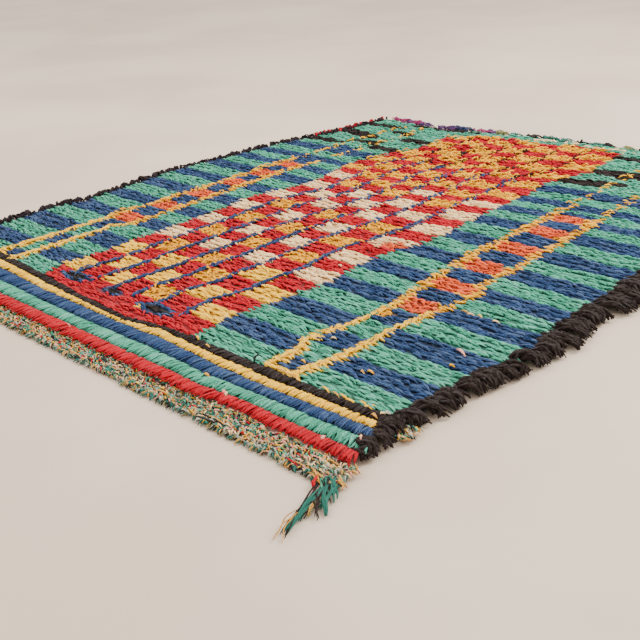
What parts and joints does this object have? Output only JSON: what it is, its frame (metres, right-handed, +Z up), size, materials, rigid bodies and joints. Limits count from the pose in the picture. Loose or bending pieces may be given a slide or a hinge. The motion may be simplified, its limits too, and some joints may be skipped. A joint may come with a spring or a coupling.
{
  "type": "boucherouite rug",
  "caption": "Flat rectangular rag rug: knotted pile in bands over a flat underside, shaggy side selvedges, a flatwoven front skirt, frayed ends and a loose corner tassel.",
  "frame": {"origin": "on the flat underside, near the middle of the rug", "axes": "+X across the rug from the left selvedge to the right shaggy selvedge, +Y along it from the flatwoven front end to the far end, +Z up out of the pile"},
  "size_m": [1.3925, 1.7521, 0.0191],
  "materials": {
    "pile_ground": "matt",
    "mixed_rag": "matt",
    "far_knots": "matt",
    "black_yarn": "matt",
    "selvedge_yarn": "matt",
    "tassel_yarn": "matt",
    "red_yarn": "matt",
    "green_yarn": "matt",
    "blue_yarn": "matt",
    "yellow_yarn": "matt",
    "cream_yarn": "matt",
    "salmon_yarn": "matt"
  },
  "bodies": {
    "root": {"rug_cloth": "pile_ground", "front_fringe": "mixed_rag", "far_fringe": "far_knots", "right_shag": "black_yarn", "left_shag": "selvedge_yarn", "corner_tassel": "tassel_yarn"}
  },
  "joints": []
}
